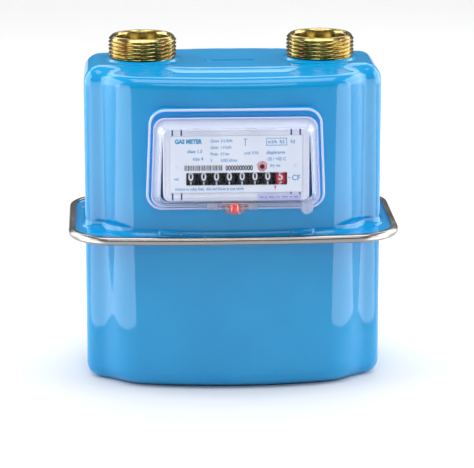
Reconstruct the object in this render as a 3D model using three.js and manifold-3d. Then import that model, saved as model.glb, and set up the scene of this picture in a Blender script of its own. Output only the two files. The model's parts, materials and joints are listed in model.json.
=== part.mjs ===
// Domestic diaphragm gas meter with two top connections, in millimetres.
// +Z is up, the front with the counter faces -Y. The origin is on the underside, midway
// between the two connections. Gas enters on the left (-X) and leaves on the right (+X).
import * as THREE from "three";
import { mergeVertices } from "three/addons/utils/BufferGeometryUtils.js";
import Module from "manifold-3d";

const wasm = await Module();
wasm.setup();

// ---- Driving dimensions -------------------------------------------------------------
const GAP = 0.3; // clearance between two pieces that touch
const RUN = 0.25; // radial clearance of a shaft that turns in a hole

const CENTRES = 110; // between the two connections
const THREAD_R = 20.955; // G 1 1/4 thread, outside
const BORE_R = 16; // gas way through a connection
const HEIGHT = 213; // underside to the connections' sealing faces
const PLATE_Z = 198; // flat top plate that the connections are welded to

const CASE_X = 91.5; // half width of the case walls
const SIDE_Y = 30; // half depth of the case at its side walls
const BULGE_X = 82.3; // half width of the front and back bulges
const BULGE_Y = 56; // half depth of the bulges at the middle
const BULGE_SWEEP = 260; // plan radius of a bulge's face
const WALL = 1.2; // sheet thickness

const JOINT_Z = 96.2; // middle plane of the joint between the two cases
const SHEET = 0.8; // thickness of each flange and of the gasket
const BAND_X = 102; // half width over the crimp band
const BAND_Y = 63.5; // half depth over the crimp band
const BAND_H = 5.2; // height of the crimp band
const BAND_LIP = 4.4; // how far its lips reach inwards
const BAND_CORNER = 26; // plan radius of its corners

const INDEX_Z = 144.8; // height of the counter's middle
const SEAT = { top: 105.3, bottom: 108.9, height: 62.4, y: -57.6, z: 146.5, corner: 10 };
const POCKET = { x: 46, z0: 119.6, z1: 170.4, y: -42.2 };

const WHEEL_R = 9.4; // number wheels
const WHEEL_PITCH = 7.73; // from one wheel to the next
const WHEEL_X0 = -26.5; // middle of the leftmost wheel
const WHEEL_Y = -54.6;
const WHEELS = 8;
const RIM_W = 5.3; // numbered rim
const WHEEL_MODULE = 0.74; // of the toothed rings and their pinions
const RING_W = 1.8; // toothed ring on the wheel's right side
const GEAR_Z = 135.8; // height shared by the wheel shaft, the gear shaft and the drive shaft
const GEAR_X = 14; // gear shaft, turned by the crank's worm
const DRIVE_X = 36.2; // drive shaft, which leaves the case and turns the counter
const BEVEL_R = 4; // pitch radius of the two bevel gears

const CHAMBER_Z = 60; // height of the diaphragms' axis
const CHAMBER_R = 52; // bore of the measuring chambers
const CLAMP_Y = 31.5; // plane where each diaphragm is clamped, front and back
const TABLE_Z = 117; // top of the chamber block
const ROD_X = -46; // flag rods
const ROD_Y = 19;
const FLAG_REACH = 44; // flag rod to the hinge on the diaphragm plate
const LEVER = 19.1; // lever on top of each flag rod
const LINK = 46.3; // lever end to crank pin
const CRANK_R = 5.6; // throw of the crank
const CRANK_Z = 147.3; // underside of the crank's web
const DUCT_R = 17.7; // outlet duct

// ---- Materials ----------------------------------------------------------------------
const finish = (color, roughness, metalness = 0) =>
  new THREE.MeshStandardMaterial({ color, roughness, metalness });
const bluePaint = finish(0x2799d8, 0.25);
const yellowZinc = finish(0xb89a4a, 0.3, 1);
const brightSteel = finish(0xc9c6c0, 0.25, 1);
const darkRubber = finish(0x222426, 0.8);
const whitePlastic = finish(0xe9ebf2, 0.4);
const clearPlastic = new THREE.MeshStandardMaterial({
  color: 0xdfe6f5, roughness: 0.05, transparent: true, opacity: 0.3,
});
const blackPlastic = finish(0x16181c, 0.4);
const redPlastic = finish(0xd8263a, 0.4);
const greyPlastic = finish(0x8d939b, 0.5);
const ivoryPlastic = finish(0xd8d2bf, 0.5);
const leather = finish(0x5b4a36, 0.9);
const brass = finish(0xb5933f, 0.35, 1);

// ---- Solids -------------------------------------------------------------------------
const group = new THREE.Group();

// A closed geometry as a manifold-3d solid.
function solid(geometry) {
  const plain = geometry.clone();
  for (const name of Object.keys(plain.attributes)) {
    if (name !== "position") plain.deleteAttribute(name);
  }
  const merged = mergeVertices(plain, 1e-4);
  return new wasm.Manifold(new wasm.Mesh({
    numProp: 3,
    vertProperties: new Float32Array(merged.attributes.position.array),
    triVerts: new Uint32Array(merged.index.array),
  }));
}

function geometryOf(made) {
  const mesh = made.getMesh();
  const geometry = new THREE.BufferGeometry();
  geometry.setAttribute("position", new THREE.BufferAttribute(mesh.vertProperties, 3));
  geometry.setIndex(new THREE.BufferAttribute(mesh.triVerts, 1));
  geometry.computeVertexNormals();
  return geometry;
}

function piece(name, made, material) {
  const mesh = new THREE.Mesh(geometryOf(made), material);
  mesh.name = name;
  group.add(mesh);
}

const union = (first, ...rest) => rest.reduce((a, b) => a.add(b), first);
const cut = (first, ...rest) => rest.reduce((a, b) => a.subtract(b), first);

// A box from its low and high corners.
function box(x0, y0, z0, x1, y1, z1) {
  const g = new THREE.BoxGeometry(x1 - x0, y1 - y0, z1 - z0);
  return solid(g.translate((x0 + x1) / 2, (y0 + y1) / 2, (z0 + z1) / 2));
}

// A cylinder from one height to another along an axis through (u, v), where u, v are the
// other two coordinates in x, y, z order.
function rod(axis, u, v, from, to, r, sides = 24, rTo = r) {
  const g = new THREE.CylinderGeometry(rTo, r, to - from, sides);
  g.translate(0, (from + to) / 2, 0);
  if (axis === "z") return solid(g.rotateX(Math.PI / 2).translate(u, v, 0));
  if (axis === "y") return solid(g.translate(u, 0, v));
  return solid(g.rotateZ(-Math.PI / 2).translate(0, u, v));
}

// A lathe turned about Z, from [radius, height] points that form a ring or end on the axis.
function lathe(outline, sides = 48) {
  const ring = outline[0][0] > 0 ? [...outline, outline[0]] : outline;
  const points = ring.map(([r, h]) => new THREE.Vector2(r, h));
  return solid(new THREE.LatheGeometry(points, sides).rotateX(Math.PI / 2));
}

// A flat outline of [x, y] points, extruded from z0 to z1.
function slab(points, z0, z1) {
  const shape = new THREE.Shape(points.map(([x, y]) => new THREE.Vector2(x, y)));
  const g = new THREE.ExtrudeGeometry(shape, { depth: z1 - z0, bevelEnabled: false });
  return solid(g.translate(0, 0, z0));
}

// The outline of a toothed wheel, with straight-sided teeth.
function toothed(teeth, root, tip, turn = 0) {
  const step = (2 * Math.PI) / teeth;
  const points = [];
  for (let i = 0; i < teeth; i++) {
    const middle = turn + i * step;
    const corners = [[root, -0.29], [tip, -0.12], [tip, 0.12], [root, 0.29]];
    for (const [r, share] of corners) {
      const a = middle + share * step;
      points.push([r * Math.cos(a), r * Math.sin(a)]);
    }
  }
  return points;
}

// A spur gear about Z, cut right through by its bore.
function gear(teeth, module, z0, z1, bore, turn = 0) {
  const outline = toothed(teeth, (teeth / 2 - 1.1) * module, (teeth / 2 + 0.8) * module, turn);
  return cut(slab(outline, z0, z1), rod("z", 0, 0, z0 - 1, z1 + 1, bore, 8));
}

// A bevel gear about Z with a 45 degree cone, its small end towards the apex.
function bevelGear(teeth, z0, z1, apex, bore, turn = 0) {
  const level = (z) => [z, toothed(teeth, 0.85 * Math.abs(z - apex), 1.12 * Math.abs(z - apex), turn)];
  return cut(loft([level(z0), level(z1)]), rod("z", 0, 0, z0 - 1, z1 + 1, bore, 8));
}

// A left-hand worm about Z with one thread; a gap faces +X at its middle height.
function worm(z0, z1, root, tip, lead, bore) {
  const sides = 12;
  const steps = Math.round(((z1 - z0) / lead) * 6);
  const levels = [];
  for (let k = 0; k <= steps; k++) {
    const z = z0 + ((z1 - z0) * k) / steps;
    const outline = [];
    for (let i = 0; i < sides; i++) {
      const a = (2 * Math.PI * i) / sides;
      const along = a / (2 * Math.PI) + (z - (z0 + z1) / 2) / lead + 0.5;
      const off = Math.abs(along - Math.round(along));
      const r = root + (tip - root) * Math.min(Math.max((0.29 - off) / 0.17, 0), 1);
      outline.push([r * Math.cos(a), r * Math.sin(a)]);
    }
    levels.push([z, outline]);
  }
  return cut(loft(levels), rod("z", 0, 0, z0 - 1, z1 + 1, bore, 8));
}

// Turns a solid made about Z so that its axis lies along +Y (side 1) or -Y (side -1).
const aboutY = (made, side) => made.rotate([-90 * side, 0, 0]);
const aboutX = (made) => made.rotate([0, 90, 0]);

// A flat link with round ends between two points, at one height.
function link(x0, y0, r0, x1, y1, r1, z0, z1) {
  const along = Math.atan2(y1 - y0, x1 - x0);
  const points = [];
  const ends = [[x1, y1, r1, along - Math.PI / 2], [x0, y0, r0, along + Math.PI / 2]];
  for (const [x, y, r, start] of ends) {
    for (let i = 0; i <= 8; i++) {
      const a = start + (i / 8) * Math.PI;
      points.push([x + r * Math.cos(a), y + r * Math.sin(a)]);
    }
  }
  return slab(points, z0, z1);
}

// ---- Plan outlines of the case ------------------------------------------------------
// Distance from a point to a rounded rectangle, negative inside.
function roundedBox(x, y, halfX, halfY, corner) {
  const dx = Math.abs(x) - halfX + corner;
  const dy = Math.abs(y) - halfY + corner;
  const outside = Math.hypot(Math.max(dx, 0), Math.max(dy, 0));
  return outside + Math.min(Math.max(dx, dy), 0) - corner;
}

// A rounded rectangle whose long faces bow outwards with the radius sweep.
function bowed(x, y, halfX, halfY, corner, sweep) {
  const sag = (x * x) / (2 * sweep);
  return roundedBox(x, Math.abs(y) + sag, halfX, halfY, corner);
}

const caseSides = (x, y) => roundedBox(x, y, CASE_X, SIDE_Y, 10);
const caseBulge = (x, y) => bowed(x, y, BULGE_X, BULGE_Y, 24, BULGE_SWEEP);
const topPad = (x, y) => bowed(x, y, 84, 30, 14, 500);
const bandPlan = (x, y) => bowed(x, y, BAND_X, BAND_Y, BAND_CORNER, 900);

// Plan directions, closer together round the corners.
const DIRECTIONS = [];
const PLAN_POINTS = 50;
for (let i = 0; i < PLAN_POINTS; i++) {
  const t = (i / PLAN_POINTS) * 2 * Math.PI;
  DIRECTIONS.push(Math.atan2(0.52 * Math.sin(t), Math.cos(t)) + 0.05 * Math.sin(4 * t));
}

// The closed outline where distance(x, y) is zero, found along each direction.
function outlineOf(distance) {
  return DIRECTIONS.map((a) => {
    let near = 0;
    let far = 150;
    for (let i = 0; i < 40; i++) {
      const middle = (near + far) / 2;
      if (distance(middle * Math.cos(a), middle * Math.sin(a)) < 0) near = middle;
      else far = middle;
    }
    return [near * Math.cos(a), near * Math.sin(a)];
  });
}

// A solid through outlines stacked at rising heights, closed with flat ends.
function loft(levels) {
  const n = levels[0][1].length;
  const position = levels.flatMap(([z, outline]) => outline.flatMap(([x, y]) => [x, y, z]));
  const low = position.length / 3;
  for (const [z, outline] of [levels[0], levels.at(-1)]) {
    const x = outline.reduce((sum, point) => sum + point[0], 0) / n;
    const y = outline.reduce((sum, point) => sum + point[1], 0) / n;
    position.push(x, y, z);
  }
  const index = [];
  for (let i = 0; i < n; i++) {
    const j = (i + 1) % n;
    index.push(low, j, i);
    for (let k = 0; k + 1 < levels.length; k++) {
      const a = k * n;
      const b = a + n;
      index.push(a + i, a + j, b + j, a + i, b + j, b + i);
    }
    const top = (levels.length - 1) * n;
    index.push(low + 1, top + i, top + j);
  }
  const g = new THREE.BufferGeometry();
  g.setAttribute("position", new THREE.Float32BufferAttribute(position, 3));
  g.setIndex(index);
  return solid(g);
}

const prism = (distance, z0, z1) => {
  const outline = outlineOf(distance);
  return loft([[z0, outline], [z1, outline]]);
};

// How far a rounded edge has drawn in, at a height above the place where it starts.
const rounding = (rise, radius) => {
  const up = Math.min(Math.max(rise, 0), radius);
  return radius - Math.sqrt(radius * radius - up * up);
};

// The shoulder above each bulge: a tight edge, then a gentle slope up to the top pad.
const SHOULDER_Z = PLATE_Z - 11;
const shoulder = (z) =>
  rounding(z - SHOULDER_Z, 4.8) + Math.max(0, z - SHOULDER_Z - 4.6) * 4.2;

// The upper case's outline at a height, drawn in by a wall thickness.
const upperOutline = (z, inset) =>
  outlineOf((x, y) => Math.min(
    caseSides(x, y) + rounding(z - (PLATE_Z - 11), 11),
    caseBulge(x, y) + shoulder(z),
    topPad(x, y) + 6 + rounding(z - (PLATE_Z - 2.5), 2.5),
  ) + inset);

const lowerOutline = (z, inset) =>
  outlineOf((x, y) => Math.min(
    caseSides(x, y) + rounding(9 - z, 9),
    caseBulge(x, y) + rounding(12 - z, 12),
  ) + inset);

const UPPER_HEIGHTS = [188.5, 190.3, 191.4, 193.5, 195.5, 197, PLATE_Z];
const INNER_HEIGHTS = [188.5, 191.4, 195.5, PLATE_Z];
const LOWER_HEIGHTS = [0, 1, 3, 6, 9.5, 12.5];

// ---- Case ---------------------------------------------------------------------------
const flangeZ = JOINT_Z + SHEET / 2 + GAP; // underside of the upper flange
const flangePlan = (x, y) => bandPlan(x, y) + 2.2;

// The index seat's outline: a rounded rectangle, a little wider at the bottom.
function seatPrism(grow, yFront, yBack) {
  const half = SEAT.height / 2 + grow;
  const top = SEAT.top / 2 + grow;
  const bottom = SEAT.bottom / 2 + grow;
  const corner = SEAT.corner + grow;
  const points = [];
  const corners = [[bottom, -half, -90], [top, half, 0], [-top, half, 90], [-bottom, -half, 180]];
  for (const [x, z, start] of corners) {
    const cx = x - Math.sign(x) * corner;
    const cz = z - Math.sign(z) * corner;
    for (let i = 0; i <= 4; i++) {
      const a = ((start + (i / 4) * 90) * Math.PI) / 180;
      points.push([cx + corner * Math.cos(a), cz + corner * Math.sin(a)]);
    }
  }
  const g = new THREE.ExtrudeGeometry(
    new THREE.Shape(points.map(([x, z]) => new THREE.Vector2(x, z))),
    { depth: yBack - yFront, bevelEnabled: false },
  );
  return solid(g.rotateX(Math.PI / 2).translate(0, yBack, SEAT.z));
}

function upperCase() {
  const levels = (inset, z0, heights) => loft(
    [z0, ...heights].map((z) => [z - inset, upperOutline(z, inset)]),
  );
  const pocket = (grow) => box(
    -POCKET.x - grow, -70, POCKET.z0 - grow, POCKET.x + grow, POCKET.y + grow, POCKET.z1 + grow,
  );
  const outside = union(
    levels(0, flangeZ, UPPER_HEIGHTS),
    prism(flangePlan, flangeZ, flangeZ + SHEET),
    seatPrism(0, SEAT.y, -40),
  );
  const inside = union(levels(WALL, flangeZ, INNER_HEIGHTS), seatPrism(-WALL, SEAT.y + WALL, -41));
  const shell = cut(outside, pocket(0), cut(inside, pocket(WALL)));
  const ways = [-1, 1].map((side) =>
    rod("z", (side * CENTRES) / 2, 0, PLATE_Z - 5, PLATE_Z + 5, BORE_R + 2 + GAP, 40));
  return cut(shell, ...ways, rod("y", DRIVE_X, GEAR_Z, -50, -30, 4));
}

function lowerCase() {
  const flange = JOINT_Z - SHEET / 2 - GAP;
  const levels = (inset, heights, z1) => loft(
    [...heights, z1].map((z) => [z + inset, lowerOutline(z, inset)]),
  );
  const outside = union(levels(0, LOWER_HEIGHTS, flange), prism(flangePlan, flange - SHEET, flange));
  return cut(outside, levels(WALL, [0, 3, 9.5], flange));
}

function crimpBand() {
  const z0 = JOINT_Z - BAND_H / 2;
  const z1 = JOINT_Z + BAND_H / 2;
  const outside = (inset) => outlineOf((x, y) => bandPlan(x, y) + inset);
  const body = loft([
    [z0, outside(1.2)], [z0 + 0.7, outside(0.2)], [z0 + 1.5, outside(0)],
    [z1 - 1.5, outside(0)], [z1 - 0.7, outside(0.2)], [z1, outside(1.2)],
  ]);
  const opening = prism((x, y) => bandPlan(x, y) + BAND_LIP, z0 - 1, z1 + 1);
  const channel = prism((x, y) => bandPlan(x, y) + 1.6, z0 + 0.8, z1 - 0.8);
  return cut(body, opening, channel);
}

function caseGasket() {
  const ring = prism(flangePlan, JOINT_Z - SHEET / 2, JOINT_Z + SHEET / 2);
  return cut(ring, prism((x, y) => bandPlan(x, y) + 8, JOINT_Z - 2, JOINT_Z + 2));
}

// A threaded connection: it stands on the top plate, and a spigot goes down through it.
function connector(side) {
  const base = PLATE_Z + GAP;
  const outline = [
    [BORE_R, PLATE_Z - 12], [BORE_R + 2, PLATE_Z - 12], [BORE_R + 2, base], [THREAD_R - 1.5, base],
    [THREAD_R - 1.5, base + 1.2], [THREAD_R, base + 2], [THREAD_R, HEIGHT - 2.2],
    [THREAD_R - 2, HEIGHT], [BORE_R + 0.6, HEIGHT], [BORE_R, HEIGHT - 0.8],
  ];
  return lathe(outline, 28).translate([(side * CENTRES) / 2, 0, 0]);
}

piece("upper_case", upperCase(), bluePaint);
piece("lower_case", lowerCase(), bluePaint);
piece("crimp_band", crimpBand(), brightSteel);
piece("case_gasket", caseGasket(), darkRubber);
piece("inlet_connector", connector(-1), yellowZinc);
piece("outlet_connector", connector(1), yellowZinc);

// ---- Counter ------------------------------------------------------------------------
const TRAY = { x: 44, z0: 122.4, z1: 167.6, back: POCKET.y - 1.3, front: -65.7 };
const FACE = { x: 39.7, z0: 127.4, z1: 162.2, front: -65.3, back: -64.6 };
const COVER = { top: 48.9, bottom: 50.5, half: 26.75, front: -69.4, back: SEAT.y - GAP };
const PLUG = { x: -0.8, y: -61.5, r: 7.4, z0: 114.3, z1: 120.7 };
const TEST = { x: 15.6, z: 143.2 }; // test mark above the number wheels
const wheelX = (i) => WHEEL_X0 + i * WHEEL_PITCH;
const shaftEnd = { left: wheelX(0) - 6.5, right: DRIVE_X + 5.4 };
const PINION_PITCH = 14 * WHEEL_MODULE; // wheel axis to pinion axis
const PINION_SIDE = -56; // degrees: the pinions lie behind and below the wheels
const PINION_Y = WHEEL_Y + PINION_PITCH * Math.cos((PINION_SIDE * Math.PI) / 180);
const PINION_Z = GEAR_Z + PINION_PITCH * Math.sin((PINION_SIDE * Math.PI) / 180);

// A rounded frame outline in the front view, [x, z], a little wider at the bottom.
function frameOutline(top, bottom, half, corner, middle) {
  const points = [];
  const corners = [[bottom, -half, -90], [top, half, 0], [-top, half, 90], [-bottom, -half, 180]];
  for (const [x, z, start] of corners) {
    for (let i = 0; i <= 5; i++) {
      const a = ((start + i * 18) * Math.PI) / 180;
      const cx = x - Math.sign(x) * corner + corner * Math.cos(a);
      points.push([cx, z - Math.sign(z) * corner + corner * Math.sin(a) + middle]);
    }
  }
  return points;
}

// A solid between front-view outlines at rising depths y.
function stack(levels) {
  const flat = levels.map(([y, outline]) => [-y, outline]).reverse();
  return loft(flat).rotate([90, 0, 0]);
}

const coverAt = (inset) => frameOutline(
  COVER.top - inset, COVER.bottom - inset, COVER.half - inset, 7 - inset / 2, INDEX_Z,
);

function indexTray() {
  const half = (TRAY.z1 - TRAY.z0) / 2;
  const outline = frameOutline(TRAY.x, TRAY.x, half, 4, INDEX_Z);
  const opening = frameOutline(TRAY.x - 5, TRAY.x - 5, half - 5.8, 1.5, INDEX_Z);
  const hollow = frameOutline(TRAY.x - 1.2, TRAY.x - 1.2, half - 1.1, 2.8, INDEX_Z);
  const recess = box(-FACE.x - GAP, -80, FACE.z0 - GAP, FACE.x + GAP, FACE.back, FACE.z1 + GAP);
  const holders = [shaftEnd.left, shaftEnd.right].map((x) =>
    box(x - 0.8, -61.5, PINION_Z - 2.2, x + 0.8, TRAY.back - 1, GEAR_Z + 4));
  const slots = [-1, 1].flatMap((side) => [FACE.z0 - 3.4, FACE.z1 + 0.8].flatMap((z) =>
    [-3, 3].map((step) => box(side * 36 + step - 0.5, -80, z, side * 36 + step + 0.5, -64.9, z + 2.6))));
  return cut(
    union(cut(
      stack([[TRAY.front, outline], [TRAY.back, outline]]),
      stack([[-80, opening], [-60, opening]]),
      stack([[-62, hollow], [TRAY.back - 1.2, hollow]]),
      recess,
    ), ...holders),
    ...slots,
    rod("x", WHEEL_Y, GEAR_Z, -50, 50, 1 + GAP, 16),
    rod("x", PINION_Y, PINION_Z, -50, 50, 0.6 + GAP, 8),
    rod("y", DRIVE_X, GEAR_Z, -50, -40, 3.2),
  );
}

function faceplate() {
  return cut(
    box(-FACE.x, FACE.front, FACE.z0, FACE.x, FACE.back, FACE.z1),
    box(wheelX(0) - 3.7, -80, GEAR_Z - 3.9, wheelX(WHEELS - 1) + 3.1, -60, GEAR_Z + 3.9),
    rod("y", TEST.x, TEST.z, -80, -60, 1.2 + GAP, 12),
  );
}

// The clear cover lies on the case's seat; its sides slope in to the front.
function indexCover() {
  const outside = stack([
    [COVER.front, coverAt(4)], [COVER.front + 0.8, coverAt(3.2)], [COVER.back, coverAt(0)],
  ]);
  const lugs = [
    rod("y", 43.6, 118.9, -63, COVER.back, 3.6, 20),
    box(-16.9, -62.5, 116.4, -12.5, COVER.back, 119),
    box(9.8, -62.5, 116.4, 14.2, COVER.back, 119),
  ];
  const inside = stack([[COVER.front + 1.4, coverAt(4.6)], [COVER.back + 1, coverAt(1.4)]]);
  return cut(
    union(outside, ...lugs),
    inside,
    rod("y", 43.6, 118.6, -80, -50, 1.2, 12),
    rod("z", PLUG.x, PLUG.y, 100, PLUG.z1 + GAP, PLUG.r + GAP, 32),
  );
}

// A number wheel: numbered rim, web, hub, and the toothed ring that its pinion turns.
function numberWheel(i) {
  const x = wheelX(i) - 3.5;
  const turn = ((90 + PINION_SIDE) * Math.PI) / 180;
  const ring = aboutX(gear(20, WHEEL_MODULE, RIM_W - 0.1, RIM_W + RING_W, 1 + RUN, turn));
  const rim = cut(
    rod("x", 0, 0, 0, RIM_W, WHEEL_R, 24),
    rod("x", 0, 0, -1, 3.2, WHEEL_R - 1.6, 12),
    rod("x", 0, 0, -1, RIM_W + 1, 1 + RUN, 8),
  );
  const hub = cut(rod("x", 0, 0, 0.2, 3.4, 2.4, 10), rod("x", 0, 0, -1, 4, 1 + RUN, 8));
  const made = union(rim, hub, ring).translate([x, WHEEL_Y, GEAR_Z]);
  if (i < WHEELS - 1) return made;
  const apex = DRIVE_X;
  const bevel = aboutX(bevelGear(12, apex - BEVEL_R, apex - 2, apex, 1 + RUN));
  const boss = cut(
    rod("x", 0, 0, x + RIM_W + RING_W - 0.1, apex - BEVEL_R + 0.1, 3.4, 16),
    rod("x", 0, 0, 30, 40, 1 + RUN, 8),
  );
  return union(made, bevel.translate([0, WHEEL_Y, GEAR_Z]), boss.translate([0, WHEEL_Y, GEAR_Z]));
}

function transferPinion(i) {
  const x = wheelX(i) - 3.5 + RIM_W;
  const turn = ((90 + PINION_SIDE + 180 + 22.5) * Math.PI) / 180;
  return aboutX(gear(8, WHEEL_MODULE, x + 0.2, x + RING_W, 0.6 + RUN, turn))
    .translate([0, PINION_Y, PINION_Z]);
}

// The seal: a clear cup under the cover, flat at the back, with a red plug pushed up into it.
const sealCup = cut(
  rod("z", PLUG.x, PLUG.y, PLUG.z0, PLUG.z1, PLUG.r, 32),
  box(-20, COVER.back, 100, 20, -40, 130),
  rod("z", PLUG.x, PLUG.y, 100, PLUG.z1 - 0.8, 2.7, 20),
);
const sealCore = rod("z", PLUG.x, PLUG.y, PLUG.z0 + 0.3, PLUG.z1 - 1.1, 2.4, 20);

piece("index_tray", indexTray(), whitePlastic);
piece("faceplate", faceplate(), whitePlastic);
piece("test_pin", rod("y", TEST.x, TEST.z, FACE.front - 0.2, -62.4, 1.2, 16), blackPlastic);
piece("index_cover", indexCover(), clearPlastic);
piece("seal_cup", sealCup, clearPlastic);
piece("seal_core", sealCore, redPlastic);
const shaftX = [shaftEnd.left - 1.1, shaftEnd.right + 1.1];
piece("wheel_shaft", rod("x", WHEEL_Y, GEAR_Z, ...shaftX, 1, 12), brightSteel);
piece("pinion_shaft", rod("x", PINION_Y, PINION_Z, ...shaftX, 0.6, 8), brightSteel);
for (let i = 0; i < WHEELS; i++) {
  piece(`number_wheel_${i + 1}`, numberWheel(i), i === WHEELS - 1 ? redPlastic : blackPlastic);
}
for (let i = 0; i < WHEELS - 1; i++) {
  piece(`transfer_pinion_${i + 1}`, transferPinion(i), greyPlastic);
}

// ---- Measuring unit -----------------------------------------------------------------
// Everything on a side is made at +Y (side 1) or mirrored to -Y (side -1).
const mirrored = (made, side) => (side > 0 ? made : made.mirror([0, 1, 0]));

// How far the flag rods stand from their middle when the crank points to +X.
const leverTurn = (() => {
  const reach = (turn) => Math.hypot(
    ROD_X + LEVER * Math.cos(Math.PI / 4 - turn) - CRANK_R,
    ROD_Y + LEVER * Math.sin(Math.PI / 4 - turn),
  );
  let low = 0;
  let high = 0.5;
  for (let i = 0; i < 40; i++) {
    const middle = (low + high) / 2;
    if (reach(middle) > LINK) low = middle;
    else high = middle;
  }
  return low;
})();
const leverEnd = [
  ROD_X + LEVER * Math.cos(Math.PI / 4 - leverTurn),
  ROD_Y + LEVER * Math.sin(Math.PI / 4 - leverTurn),
];
const hinge = [
  ROD_X + FLAG_REACH * Math.cos(leverTurn),
  ROD_Y - FLAG_REACH * Math.sin(leverTurn),
];
const plateY = CLAMP_Y + hinge[1] - ROD_Y; // where the diaphragm plate stands now

function chamberBlock() {
  const round = rod("y", 0, CHAMBER_Z, -CLAMP_Y, CLAMP_Y, CHAMBER_R + 5, 30);
  const table = box(-66, -26, TABLE_Z - 12, 78, 26, TABLE_Z);
  const feet = [-36, 36].map((x) => box(x - 7, -20, WALL + GAP, x + 7, 20, 24));
  const bores = [-1, 1].map((side) =>
    rod("y", 0, CHAMBER_Z, side > 0 ? 1.2 : -40, side > 0 ? 40 : -1.2, CHAMBER_R, 30));
  const rods = [-1, 1].map((side) => rod("z", ROD_X, side * ROD_Y, 60, 130, 2.5 + RUN, 20));
  const ways = [
    rod("z", CENTRES / 2, 0, TABLE_Z - 8, 130, 14, 32),
    rod("z", 0, 0, TABLE_Z - 4, 130, 5, 24),
  ];
  return cut(union(round, table, ...feet), ...bores, ...rods, ...ways);
}

function pan(side) {
  return aboutY(lathe([
    [0, 15.2], [44, 15.2], [49.5, 11.7], [52, 5], [52.4, 1.4], [57, 1.4], [57, 2.6],
    [53.6, 2.6], [53.2, 5.5], [50.6, 12.7], [44.6, 16.4], [0, 16.4],
  ], 28), side).translate([0, side * CLAMP_Y, CHAMBER_Z]);
}

// The clamped, folded part of a diaphragm.
function diaphragm(side) {
  return aboutY(lathe([
    [57, 0.3], [57, 1.1], [51.5, 1.1], [49.5, 3.2], [46.5, 4], [43.5, 3], [41.5, 0.6],
    [42.2, 0.1], [44.2, 2.4], [46.5, 3.2], [49, 2.4], [51.2, 0.3],
  ], 24), side).translate([0, side * CLAMP_Y, CHAMBER_Z]);
}

// The stiff plate in a diaphragm's middle, with the hinge pin that the flag moves along.
function diaphragmPlate(side) {
  const disc = aboutY(lathe([
    [0, -0.8], [36, -0.8], [38, -0.3], [38, 0.5], [36, 0], [0, 0],
  ], 28), 1).translate([0, plateY + 0.4, CHAMBER_Z]);
  const [x, y] = hinge;
  const cheeks = [44, 73].map((z) => box(x - 2.2, y - 2.2, z, x + 2.2, plateY, z + 3));
  return mirrored(union(disc, ...cheeks, rod("z", x, y, 44.5, 75.5, 1.2, 16)), side);
}

function flagRod(side) {
  const [x, y] = hinge;
  const shaft = rod("z", ROD_X, ROD_Y, 44, CRANK_Z + 4, 2.5, 20);
  const hub = rod("z", ROD_X, ROD_Y, 49, 71, 3.4, 20);
  const vane = link(ROD_X, ROD_Y, 1, x, y, 1, 49, 71);
  const dx = Math.cos(leverTurn);
  const dy = -Math.sin(leverTurn);
  const eye = link(x - 2 * dx, y - 2 * dy, 2.6, x + 2 * dx, y + 2 * dy, 2.6, 54, 66);
  const slot = link(x - 1.4 * dx, y - 1.4 * dy, 1.5, x + 1.4 * dx, y + 1.4 * dy, 1.5, 40, 80);
  return mirrored(union(cut(union(vane, eye), slot), hub, shaft), side);
}

function flagLever(side) {
  const z0 = CRANK_Z + 1.7;
  const z1 = CRANK_Z + 3.7;
  const arm = cut(
    link(ROD_X, ROD_Y, 4.6, ...leverEnd, 3, z0, z1),
    rod("z", ROD_X, ROD_Y, 100, 200, 2.5 + GAP, 20),
  );
  const top = side > 0 ? CRANK_Z + 6.4 : CRANK_Z + 8.3;
  return mirrored(union(arm, rod("z", ...leverEnd, z0 + 0.5, top, 1.2, 16)), side);
}

function linkArm(side) {
  const z0 = side > 0 ? CRANK_Z + 4.8 : CRANK_Z + 6.7;
  const bar = link(...leverEnd, 3, CRANK_R, 0, 3, z0, z0 + 1.5);
  const eyes = [leverEnd, [CRANK_R, 0]].map(([x, y]) => rod("z", x, y, z0 - 1, z0 + 3, 1.5, 16));
  return mirrored(cut(bar, ...eyes), side);
}

function flagBush(side) {
  const outline = [[2.5 + RUN, TABLE_Z + GAP], [6, TABLE_Z + GAP], [6, TABLE_Z + 1.6],
    [4.6, TABLE_Z + 5], [2.5 + RUN, TABLE_Z + 5]];
  return lathe(outline, 16).translate([ROD_X, side * ROD_Y, 0]);
}

piece("chamber_block", chamberBlock(), greyPlastic);
for (const [where, side] of [["front", -1], ["back", 1]]) {
  piece(where + "_pan", pan(side), greyPlastic);
  piece(where + "_diaphragm", diaphragm(side), leather);
  piece(where + "_diaphragm_plate", diaphragmPlate(side), brightSteel);
  piece(where + "_flag_rod", flagRod(side), brightSteel);
  piece(where + "_flag_lever", flagLever(side), ivoryPlastic);
  piece(where + "_link", linkArm(side), ivoryPlastic);
  piece(where + "_flag_bush", flagBush(side), darkRubber);
}

// Valve: a fixed seat with four ports and an outlet, and a turning cover on top of it.
const seatTop = TABLE_Z + GAP + 3;
const ports = [0, 90, 180, 270].map((a) =>
  rod("z", 13, 0, TABLE_Z - 5, 130, 3.6, 16).rotate([0, 0, a + 45]));
piece("valve_seat", cut(
  rod("z", 0, 0, TABLE_Z + GAP, seatTop, 21, 40),
  rod("z", 0, 0, 100, 130, 1.5 + RUN, 16),
  ...ports,
), ivoryPlastic);
const valveZ = seatTop + GAP;
piece("rotary_valve", cut(
  union(
    cut(rod("z", 0, 0, valveZ, valveZ + 3, 19, 40), box(0, -30, 100, 30, 30, 140)),
    rod("z", 0, 0, valveZ, valveZ + 3, 7, 24),
  ),
  rod("z", 0, 0, 100, 130, 1.5 + GAP, 16),
), ivoryPlastic);

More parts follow.
